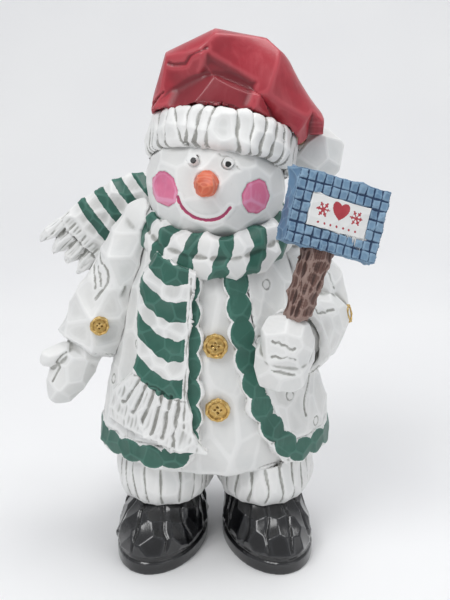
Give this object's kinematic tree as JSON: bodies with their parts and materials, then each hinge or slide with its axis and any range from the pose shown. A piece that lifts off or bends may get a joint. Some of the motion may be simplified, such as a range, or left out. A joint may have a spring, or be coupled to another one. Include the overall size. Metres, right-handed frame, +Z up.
{
  "type": "wooden snowman figure",
  "caption": "Standing carved wooden snowman in a slouched hat, scarf and open coat, holding up a small sign board on a post; stands on its boots as a seasonal decoration.",
  "frame": {"origin": "middle of the whole figure's box, on the floor plane under the boot soles", "axes": "+Z up, figure faces -Y, +X is the figure's left side (the raised arm with the sign)"},
  "size_m": [0.1994, 0.1265, 0.2995],
  "materials": {
    "white_paint": "carved wood, matt off-white paint with a thin grey wash in the cuts",
    "green_paint": "carved wood, satin dark green paint",
    "scarf_paint": "carved wood, off-white paint with satin dark green stripes",
    "red_paint": "carved wood, satin deep red paint",
    "black_paint": "carved wood, gloss black paint",
    "orange_paint": "carved wood, satin orange paint",
    "eye_paint": "turned wood, gloss white paint with a black pupil",
    "blue_paint": "carved wood, satin grey-blue paint",
    "brown_paint": "carved wood, matt brown paint with a dry-brushed grain",
    "plaque_paint": "thin wood, matt white paint with a red motif",
    "button_brass": "polished brass with darker lacquer in the dish",
    "birch": "bare birch dowel"
  },
  "bodies": {
    "root": {"tunic": "white_paint", "coat_left": "white_paint", "coat_right": "white_paint", "coat_trim_left": "green_paint", "coat_trim_right": "green_paint", "trouser_leg_left": "white_paint", "trouser_leg_right": "white_paint", "boot_left": "black_paint", "boot_right": "black_paint", "head": "white_paint", "nose": "orange_paint", "eye_left": "eye_paint", "eye_right": "eye_paint", "hat_band": "white_paint", "hat_crown": "red_paint", "hat_pompom": "white_paint", "scarf_wrap": "scarf_paint", "scarf_front_tail": "scarf_paint", "scarf_back_tail": "scarf_paint", "sleeve_left": "white_paint", "sleeve_right": "white_paint", "mitten_left": "white_paint", "mitten_right": "white_paint", "front_button_upper": "button_brass", "front_button_lower": "button_brass", "sleeve_button_left": "button_brass", "sleeve_button_right": "button_brass", "sign_board": "blue_paint", "sign_plaque": "plaque_paint", "sign_post": "brown_paint", "neck_dowel": "birch", "hat_dowel": "birch", "pompom_dowel": "birch", "scarf_tail_dowel": "birch", "leg_dowel_left": "birch", "leg_dowel_right": "birch", "shoulder_dowel_left": "birch", "shoulder_dowel_right": "birch", "wrist_dowel_left": "birch", "wrist_dowel_right": "birch"}
  },
  "joints": []
}
